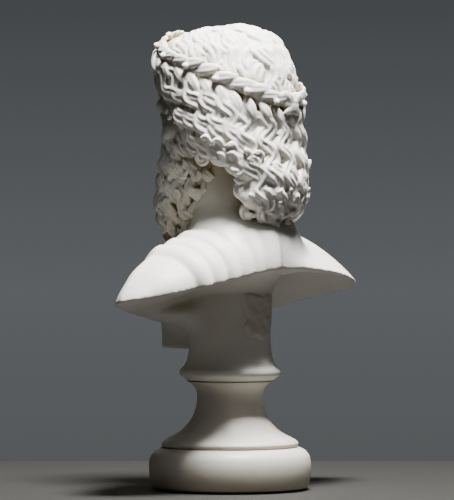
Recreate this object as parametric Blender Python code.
"""Bearded laurel-crowned bust in cast marble, on a turned socle and base, drawn together by a tie rod.

Frame: metres, +Z up, the face towards -Y and the sitter's left side at +X.
The origin is the centre of the felt's underside, on the axis of the turned base.
"""

import math

import bmesh
import bpy
from mathutils import Euler, Matrix, Vector

MM = 0.001

# Driving dimensions of the whole object.
CROWN_HEIGHT = 280 * MM
SHOULDER_HALF_WIDTH = 98 * MM
TORSO_CENTRE = Vector((-2.5 * MM, 5 * MM))
TORSO_BACK = 38 * MM
TORSO_FRONT = 52 * MM
BACK_SLOPE = 1.6
FRONT_SLOPE = 1.4
COLUMN_RADIUS = 24.6 * MM
TURNED_SEGMENTS = 32
GAP = 0.3 * MM

# Heights of the stacked stones.
FELT_THICKNESS = 1.2 * MM
BASE_BOTTOM = FELT_THICKNESS + GAP
BASE_TOP = 25.5 * MM
SOCLE_BOTTOM = BASE_TOP + GAP
SOCLE_TOP = 65.0 * MM
COLLAR_BOTTOM = SOCLE_TOP + GAP
COLLAR_MIDDLE = 70.8 * MM
COLLAR_TOP = 76.0 * MM

# The tie rod and what it passes through.
ROD_RADIUS = 4.0 * MM
ROD_HOLE_RADIUS = 4.6 * MM
ROD_BOTTOM = 3.2 * MM
ROD_TOP = 92.0 * MM
COUNTERBORE_RADIUS = 12.5 * MM
COUNTERBORE_TOP = 15.0 * MM
INSERT_FLATS = 14.0 * MM
INSERT_LENGTH = 24.0 * MM
NUT_FLATS = 13.0 * MM
NUT_TURN = math.radians(15)
FLAT_WASHER = (10.5 * MM, 1.6 * MM)
SPRING_WASHER = (7.4 * MM, 2.0 * MM)
NUT_HEIGHT = 6.5 * MM

# The beds of setting resin in the two joints.
BED_DEPTH = 0.9 * MM
BED_INNER = 7.0 * MM
UPPER_BED_OUTER = 20.0 * MM
LOWER_BED_OUTER = 33.0 * MM

# The head, turned a little to its own left and bowed a little.
HEAD_PIVOT = Vector((0, 3 * MM, 200 * MM))
HEAD_TURN = math.radians(10)
HEAD_BOW = math.radians(5)


def clear_scene():
    for old in list(bpy.data.objects):
        bpy.data.objects.remove(old, do_unlink=True)


def material(name, colour, roughness, metallic=0.0):
    made = bpy.data.materials.new(name)
    made.use_nodes = True
    shader = made.node_tree.nodes["Principled BSDF"]
    shader.inputs["Base Color"].default_value = (*colour, 1)
    shader.inputs["Roughness"].default_value = roughness
    shader.inputs["Metallic"].default_value = metallic
    return made


def add_object(name, bm, finish, smooth_angle=40):
    """Turns a bmesh into a named object with one material."""
    bmesh.ops.recalc_face_normals(bm, faces=bm.faces)
    mesh = bpy.data.meshes.new(name)
    bm.to_mesh(mesh)
    bm.free()
    mesh.shade_smooth()
    mesh.set_sharp_from_angle(angle=math.radians(smooth_angle))
    made = bpy.data.objects.new(name, mesh)
    bpy.context.scene.collection.objects.link(made)
    if finish:
        made.data.materials.append(finish)
    return made


def helper(name, bm):
    """A cutter or a hidden piece of a Boolean, left out of the model."""
    made = add_object(name, bm, None)
    made.hide_render = True
    made.display_type = "WIRE"
    return made


def boolean(target, other, operation):
    step = target.modifiers.new(other.name, "BOOLEAN")
    step.operation = operation
    step.object = other


def ellipse_arc(centre, half_axes, start, end, steps, power=2.0):
    """Points (r, z) along a superellipse, from one angle to another in degrees."""
    points = []
    for i in range(steps + 1):
        angle = math.radians(start + (end - start) * i / steps)
        across, up = math.cos(angle), math.sin(angle)
        across = math.copysign(abs(across) ** (2 / power), across)
        up = math.copysign(abs(up) ** (2 / power), up)
        points.append((centre[0] + half_axes[0] * across, centre[1] + half_axes[1] * up))
    return points


def turned(outline, segments=TURNED_SEGMENTS):
    """A bmesh of a closed (r, z) outline swept once around the Z axis."""
    bm = bmesh.new()
    corners = [bm.verts.new((r, 0, z)) for r, z in outline]
    edges = [bm.edges.new(pair) for pair in zip(corners, corners[1:] + corners[:1], strict=True)]
    bmesh.ops.spin(
        bm, geom=edges, cent=(0, 0, 0), axis=(0, 0, 1), angle=math.tau, steps=segments, use_duplicate=False
    )
    bmesh.ops.remove_doubles(bm, verts=bm.verts, dist=0.01 * MM)
    on_axis = [v for v in bm.verts if math.hypot(v.co.x, v.co.y) < 0.02 * MM]
    bmesh.ops.remove_doubles(bm, verts=on_axis, dist=0.05 * MM)
    return bm


def prism(radius, bottom, top, sides, turn=0.0):
    """A bmesh of a regular prism standing on the Z axis, by its corner radius."""
    bm = bmesh.new()
    place = Matrix.Translation((0, 0, (bottom + top) / 2)) @ Matrix.Rotation(turn, 4, "Z")
    bmesh.ops.create_cone(
        bm, cap_ends=True, segments=sides, radius1=radius, radius2=radius, depth=top - bottom, matrix=place
    )
    return bm


def hexagon_radius(flats):
    return flats / math.sqrt(3)


# ---------------------------------------------------------------- turned stones


def build_base(finish):
    """The low round plinth, with a counterbore for the nut in its underside."""
    side = ellipse_arc((36 * MM, 12 * MM), (12.8 * MM, BASE_TOP - 12 * MM), 0, 70, 8, power=2.4)
    outline = [
        (COUNTERBORE_RADIUS, BASE_BOTTOM),
        (46.6 * MM, BASE_BOTTOM),
        (47.6 * MM, 3.5 * MM),
        (48.5 * MM, 7.5 * MM),
        *side,
        (40.2 * MM, BASE_TOP),
        (LOWER_BED_OUTER, BASE_TOP),
        (LOWER_BED_OUTER, BASE_TOP - BED_DEPTH),
        (BED_INNER, BASE_TOP - BED_DEPTH),
        (BED_INNER, BASE_TOP),
        (ROD_HOLE_RADIUS, BASE_TOP),
        (ROD_HOLE_RADIUS, COUNTERBORE_TOP),
        (COUNTERBORE_RADIUS, COUNTERBORE_TOP),
    ]
    return add_object("base", turned(outline), finish)


def build_socle(finish):
    """The waisted stone between the base and the bust: a scotia with a rounded foot."""
    foot = ellipse_arc((37.2 * MM, SOCLE_BOTTOM + 0.1 * MM), (4.0 * MM, 4.0 * MM), 0, 90, 4)
    lower = ellipse_arc((41.0 * MM, 55 * MM), (21.7 * MM, 25.5 * MM), 260, 180, 9)
    upper = ellipse_arc((28.0 * MM, 55 * MM), (8.7 * MM, 9.8 * MM), 180, 105, 6)
    outline = [
        (ROD_HOLE_RADIUS, SOCLE_BOTTOM),
        (40.6 * MM, SOCLE_BOTTOM),
        *foot[:-1],
        *lower,
        *upper[1:],
        (UPPER_BED_OUTER, SOCLE_TOP),
        (UPPER_BED_OUTER, SOCLE_TOP - BED_DEPTH),
        (BED_INNER, SOCLE_TOP - BED_DEPTH),
        (BED_INNER, SOCLE_TOP),
        (ROD_HOLE_RADIUS, SOCLE_TOP),
    ]
    return add_object("socle", turned(outline), finish)


def build_beds(finish):
    """The two thin rings of setting resin that fill the recesses in the joints."""
    for name, top, outer in (
        ("lower_joint_bed", BASE_TOP, LOWER_BED_OUTER),
        ("upper_joint_bed", SOCLE_TOP, UPPER_BED_OUTER),
    ):
        low = top - BED_DEPTH + GAP
        outline = [
            (BED_INNER + GAP, low),
            (outer - GAP, low),
            (outer - GAP, top),
            (BED_INNER + GAP, top),
        ]
        add_object(name, turned(outline), finish)


# ------------------------------------------------------------------- fastening


def build_fastening(steel, felt):
    """Rod, insert, washers and nut on the axis, and the felt that covers them."""
    chamfer = 0.8 * MM
    rod = [
        (0, ROD_BOTTOM),
        (ROD_RADIUS - chamfer, ROD_BOTTOM),
        (ROD_RADIUS, ROD_BOTTOM + chamfer),
        (ROD_RADIUS, ROD_TOP - chamfer),
        (ROD_RADIUS - chamfer, ROD_TOP),
        (0, ROD_TOP),
    ]
    bm = bmesh.new()
    corners = [bm.verts.new((r, 0, z)) for r, z in rod]
    edges = [bm.edges.new(pair) for pair in zip(corners, corners[1:], strict=False)]
    bmesh.ops.spin(
        bm, geom=edges, cent=(0, 0, 0), axis=(0, 0, 1), angle=math.tau, steps=20, use_duplicate=False
    )
    bmesh.ops.remove_doubles(bm, verts=bm.verts, dist=0.01 * MM)
    add_object("tie_rod", bm, steel)

    bore = helper("rod_clearance", prism(ROD_RADIUS + GAP, -5 * MM, 120 * MM, 20))
    insert = add_object(
        "threaded_insert",
        prism(hexagon_radius(INSERT_FLATS), COLLAR_BOTTOM, COLLAR_BOTTOM + INSERT_LENGTH, 6),
        steel,
    )
    boolean(insert, bore, "DIFFERENCE")

    washer_top = COUNTERBORE_TOP - GAP
    washer_low = washer_top - FLAT_WASHER[1]
    spring_top = washer_low - GAP
    spring_low = spring_top - SPRING_WASHER[1]
    nut_top = spring_low - GAP
    nut_low = nut_top - NUT_HEIGHT
    inner = ROD_RADIUS + GAP
    for name, low, top, outer in (
        ("flat_washer", washer_low, washer_top, FLAT_WASHER[0]),
        ("spring_washer", spring_low, spring_top, SPRING_WASHER[0]),
    ):
        outline = [(inner, low), (outer, low), (outer, top), (inner, top)]
        add_object(name, turned(outline, 28), steel)
    split = bmesh.new()
    bmesh.ops.create_cube(
        split,
        size=1,
        matrix=Matrix.Translation((6 * MM, 0, (spring_low + spring_top) / 2))
        @ Matrix.Rotation(math.radians(25), 4, "X")
        @ Matrix.Diagonal((8 * MM, 1.0 * MM, 6 * MM, 1)),
    )
    boolean(bpy.data.objects["spring_washer"], helper("washer_split", split), "DIFFERENCE")

    nut = add_object("hex_nut", prism(hexagon_radius(NUT_FLATS), nut_low, nut_top, 6, NUT_TURN), steel)
    boolean(nut, bore, "DIFFERENCE")

    felt_disc = prism(45 * MM, 0, FELT_THICKNESS, TURNED_SEGMENTS)
    add_object("felt_pad", felt_disc, felt)


# ------------------------------------------------------------------------ bust


def edge_heights(u):
    """Heights of the torso's back and front cut edges at u, from -1 at the right tip to 1 at the left."""
    side = abs(u)
    if u > 0:
        back = 114 + 19 * (1 - side**1.3) ** 1.1
        front = 97 + 15.5 * side**0.9
    else:
        back = 121 + 12 * (1 - side**4)
        front = 97 + 22 * side**1.8
    return back * MM, front * MM


def ridge_height(u):
    """Height of the line along the top of the shoulders."""
    tip = edge_heights(math.copysign(1, u))[0]
    rise = max(0.0, 1 - abs(u) ** 1.8) ** 0.64
    return tip + (161 * MM - tip) * rise


def fold_relief(u):
    """Thickness of the cloak over the left shoulder, with ridges that run from front to back."""
    x = u * SHOULDER_HALF_WIDTH / MM
    if not 2 < x < 74:
        return 0.0
    return (1.6 + 1.5 * math.cos((x - 2) / 72 * math.tau * 5)) * MM


def torso_slice(u, arc_steps=9, under_steps=6):
    """One closed loop (y, z) of the torso, across the shoulders at u."""
    back_z, front_z = edge_heights(u)
    top = ridge_height(u)
    spare = max(0.0, 1 - u * u)
    centre = TORSO_CENTRE.y
    back_y = centre + TORSO_BACK * spare**0.6
    front_y = centre - TORSO_FRONT * spare**0.7
    cloth = fold_relief(u)
    loop = []
    for i in range(arc_steps + 1):
        t = math.pi / 2 * i / arc_steps
        y = centre + (back_y - centre) * abs(math.cos(t)) ** BACK_SLOPE + cloth * math.cos(t)
        loop.append((y, back_z + (top - back_z) * math.sin(t) ** BACK_SLOPE + cloth * math.sin(t)))
    for i in range(1, arc_steps + 1):
        t = math.pi / 2 * i / arc_steps
        y = centre + (front_y - centre) * math.sin(t) ** FRONT_SLOPE - cloth * math.sin(t)
        loop.append((y, front_z + (top - front_z) * abs(math.cos(t)) ** FRONT_SLOPE + cloth * math.cos(t)))
    hollow = min(10 * MM, 0.4 * (top - max(back_z, front_z))) * spare**0.5
    for i in range(1, under_steps):
        t = i / under_steps
        lift = hollow * math.sin(math.pi * t) ** 0.7
        loop.append((front_y + (back_y - front_y) * t, front_z + (back_z - front_z) * t + lift))
    return loop


def torso_mass(stations=48):
    """The shoulders and chest: slices lofted from the right tip to the left."""
    bm = bmesh.new()
    rings = []
    for i in range(stations + 1):
        u = math.sin(math.pi / 2 * (2 * i / stations - 1)) * 0.995
        x = TORSO_CENTRE.x + u * SHOULDER_HALF_WIDTH
        rings.append([bm.verts.new((x, y, z)) for y, z in torso_slice(u)])
    for near, far in zip(rings, rings[1:], strict=False):
        for i in range(len(near)):
            j = (i + 1) % len(near)
            bm.faces.new((near[i], near[j], far[j], far[i]))
    for ring in (rings[0], rings[-1]):
        bm.faces.new(ring)
    return bm


def add_ellipsoid(bm, centre, half_axes, turn=(0, 0, 0), frame=None, detail=14):
    """Adds an ellipsoid; centre and half axes in millimetres, turn in degrees."""
    spun = Euler([math.radians(a) for a in turn]).to_matrix().to_4x4()
    stretched = Matrix.Diagonal((*[a * MM for a in half_axes], 1))
    place = Matrix.Translation(Vector(centre) * MM) @ spun @ stretched
    if frame:
        place = frame @ place
    bmesh.ops.create_uvsphere(bm, u_segments=detail, v_segments=detail // 2 + 2, radius=1, matrix=place)


def head_frame():
    """Carries the upright, forward-looking head to its turned and bowed place."""
    turn = Matrix.Rotation(HEAD_TURN, 4, "Z") @ Matrix.Rotation(HEAD_BOW, 4, "X")
    return Matrix.Translation(HEAD_PIVOT) @ turn @ Matrix.Translation(-HEAD_PIVOT)


def add_skull_and_face(bm, frame):
    """Cranium, brow, eyes, nose, cheeks, mouth and jaw on a three-part face."""
    add_ellipsoid(bm, (0, 3, 243), (35, 43, 35), frame=frame, detail=20)
    add_ellipsoid(bm, (0, -10, 206), (27, 29, 34), frame=frame, detail=18)
    add_ellipsoid(bm, (0, -36, 219), (4, 9, 14), turn=(-12, 0, 0), frame=frame)
    add_ellipsoid(bm, (0, -44.5, 208), (4.6, 5.5, 4.6), frame=frame)
    add_ellipsoid(bm, (0, -39, 193.5), (7, 4.5, 2.6), frame=frame)
    for side in (-1, 1):
        add_ellipsoid(bm, (side * 14, -35, 234), (13, 7, 4), turn=(0, side * 8, side * -14), frame=frame)
        add_ellipsoid(bm, (side * 14.5, -29, 224), (8.5, 8, 5.5), frame=frame)
        add_ellipsoid(bm, (side * 17, -28, 211), (10, 9, 9), frame=frame)
        add_ellipsoid(bm, (side * 5, -41, 206.5), (3.5, 5, 3.6), frame=frame)


def add_hair(bm, frame):
    """Crown cap, waves combed back from the brow, and overlapping locks round to the nape."""
    add_ellipsoid(bm, (0, 5, 242), (37, 44, 37), frame=frame, detail=20)
    add_ellipsoid(bm, (0, 10, 212), (36, 35, 26), frame=frame, detail=18)
    add_ellipsoid(bm, (0, 17, 190), (33, 29, 33), frame=frame, detail=18)
    for ring, count in ((24, 11), (52, 7)):
        lift = math.radians(ring)
        for i in range(count):
            angle = math.radians(360 * i / count + ring)
            out = Vector((38 * math.cos(angle) * math.cos(lift), 44 * math.sin(angle) * math.cos(lift), 0))
            centre = Vector((0, 5, 242)) + out + Vector((0, 0, 37 * math.sin(lift)))
            turn = (0, -ring, math.degrees(angle))
            add_ellipsoid(bm, centre, (3.5, 5, 10), turn=turn, frame=frame, detail=8)
    rows = ((226, 39, 43, -48, 14), (206, 39, 43, -30, 13), (186, 36, 43, 32, 9), (169, 32, 38, 38, 8))
    for row, (z, across, deep, start, count) in enumerate(rows):
        for i in range(count):
            share = (i + 0.5 * (row % 2)) / (count - 0.5)
            angle = math.radians(start + (180 - 2 * start) * share)
            centre = (across * math.cos(angle), 4 + deep * math.sin(angle), z)
            sway = 20 if (i + row) % 2 else -20
            turn = (sway, 0, math.degrees(angle))
            add_ellipsoid(bm, centre, (6, 6.5, 12), turn=turn, frame=frame, detail=10)
    for i in range(8):
        across = -29.75 + 8.5 * i
        centre = (across, -34 + abs(across) * 0.42, 256 - abs(across) * 0.55)
        lean = math.copysign(22, across)
        add_ellipsoid(bm, centre, (5, 7, 10), turn=(0, lean, 0), frame=frame, detail=10)


def add_beard(bm, frame):
    """A full beard of rounded locks, and a moustache."""
    add_ellipsoid(bm, (0, -24, 180), (24, 19, 25), frame=frame, detail=18)
    for row, (z, reach, count) in enumerate(((201, 29, 8), (187, 29, 8), (173, 25, 7), (161, 17, 5))):
        for i in range(count):
            share = (i + 0.5) / count * 2 - 1
            if row == 0 and abs(share) < 0.3:
                continue
            angle = math.radians(-90 + share * (88 - 8 * row))
            centre = (reach * math.cos(angle), -19 + (reach - 4) * math.sin(angle), z)
            sway = 20 if i % 2 else -20
            add_ellipsoid(bm, centre, (5, 5, 9), turn=(sway, 0, math.degrees(angle)), frame=frame, detail=10)
    for side in (-1, 1):
        turn = (0, side * 24, side * -20)
        add_ellipsoid(bm, (side * 9, -40, 199), (9, 5, 3.6), turn=turn, frame=frame, detail=10)


def add_wreath(bm, frame, stations=10):
    """Laurel leaves in an upper and a lower row, from the brow to the back on both sides, with berries."""
    for side in (-1, 1):
        for i in range(stations):
            share = (i + 0.5) / stations
            angle = math.radians(-90 + side * 180 * share)
            across, along = math.cos(angle), math.sin(angle)
            spot = Vector((40.5 * across, 4 + 44.5 * along, 245 - 17 * along))
            heading = math.degrees(angle) + side * 90
            for tilt, rise in ((-24, 5.0), (28, -4.5)):
                centre = spot + Vector((0, 0, rise))
                add_ellipsoid(bm, centre, (9.5, 3.2, 4.4), turn=(0, tilt, heading), frame=frame, detail=10)
            if i % 2:
                add_ellipsoid(bm, spot, (3.2, 3.4, 3.0), frame=frame, detail=8)


def add_neck_and_support(bm):
    """Neck, column and the blank tablet at the foot of the chest."""
    neck = (Vector((0, 4, 176)), 23 * MM, 56 * MM, math.radians(10))
    column = (Vector((0, 0, 109)), COLUMN_RADIUS, 62 * MM, 0)
    for centre, radius, depth, tilt in (neck, column):
        place = Matrix.Translation(centre * MM) @ Matrix.Rotation(tilt, 4, "X")
        bmesh.ops.create_cone(
            bm, cap_ends=True, segments=32, radius1=radius, radius2=radius, depth=depth, matrix=place
        )
    add_ellipsoid(bm, (0, 6, 156), (36, 27, 15), detail=18)
    tablet_size = Matrix.Diagonal((27 * MM, 35 * MM, 15 * MM, 1))
    tablet_place = Matrix.Translation((0, -28 * MM, 93 * MM))
    bmesh.ops.create_cube(bm, size=1, matrix=tablet_place @ tablet_size)


def collar_outline():
    """The roll at the foot of the bust and the cove above it, down to the joint."""
    roll = ellipse_arc((25.4 * MM, COLLAR_MIDDLE), (5.0 * MM, COLLAR_TOP - COLLAR_MIDDLE), -78, 80, 9)
    return [
        (0, COLLAR_BOTTOM),
        (25.2 * MM, COLLAR_BOTTOM),
        *roll,
        (25.3 * MM, 77.5 * MM),
        (24.7 * MM, 80.5 * MM),
        (23.6 * MM, 86 * MM),
        (0, 86 * MM),
    ]


def build_bust(finish):
    """One casting: head, torso, column and collar, with a hexagonal pocket for the insert."""
    frame = head_frame()
    bm = torso_mass()
    add_neck_and_support(bm)
    add_skull_and_face(bm, frame)
    add_hair(bm, frame)
    add_beard(bm, frame)
    add_wreath(bm, frame)
    bust = add_object("bust", bm, finish, smooth_angle=60)

    fuse = bust.modifiers.new("fuse", "REMESH")
    fuse.mode = "VOXEL"
    fuse.voxel_size = 1.6 * MM
    soften = bust.modifiers.new("soften", "SMOOTH")
    soften.factor = 0.5
    soften.iterations = 2
    thin = bust.modifiers.new("thin", "DECIMATE")
    thin.ratio = 0.075

    collar = turned(collar_outline())
    boolean(bust, helper("collar", collar), "UNION")
    pocket = prism(hexagon_radius(INSERT_FLATS + 2 * GAP), COLLAR_BOTTOM - 5 * MM, ROD_TOP + 2 * MM, 6)
    boolean(bust, helper("insert_pocket", pocket), "DIFFERENCE")
    return bust


def build_gate_plug(finish, bust):
    """Stone paste that fills the casting gate, an uneven patch on the back of the column."""
    outline = []
    for i in range(14):
        angle = math.tau * i / 14
        wobble = 1 + 0.12 * math.sin(3 * angle + 0.6) + 0.08 * math.sin(5 * angle)
        outline.append((8.5 * math.cos(angle) * wobble, 13.5 * math.sin(angle) * wobble))

    def plug(grow, front, back):
        bm = bmesh.new()
        near = [bm.verts.new((x * grow * MM, back, (z * grow + 104) * MM)) for x, z in outline]
        bm.faces.new(near)
        extruded = bmesh.ops.extrude_face_region(bm, geom=list(bm.faces))["geom"]
        moved = [v for v in extruded if isinstance(v, bmesh.types.BMVert)]
        bmesh.ops.translate(bm, vec=(0, front - back, 0), verts=moved)
        bmesh.ops.recalc_face_normals(bm, faces=bm.faces)
        return bm

    seat = helper("gate_recess", plug(1.0, 40 * MM, 19 * MM))
    boolean(bust, seat, "DIFFERENCE")
    patch = add_object("gate_plug", plug(0.965, 24.4 * MM, 19.4 * MM), finish)
    return patch


def main():
    clear_scene()
    marble = material("cast_marble", (0.82, 0.80, 0.76), 0.45)
    resin = material("setting_resin", (0.70, 0.66, 0.58), 0.6)
    steel = material("zinc_steel", (0.62, 0.62, 0.60), 0.35, 1.0)
    felt = material("felt", (0.12, 0.11, 0.10), 0.95)
    build_base(marble)
    build_socle(marble)
    build_beds(resin)
    bust = build_bust(marble)
    build_gate_plug(resin, bust)
    build_fastening(steel, felt)


main()
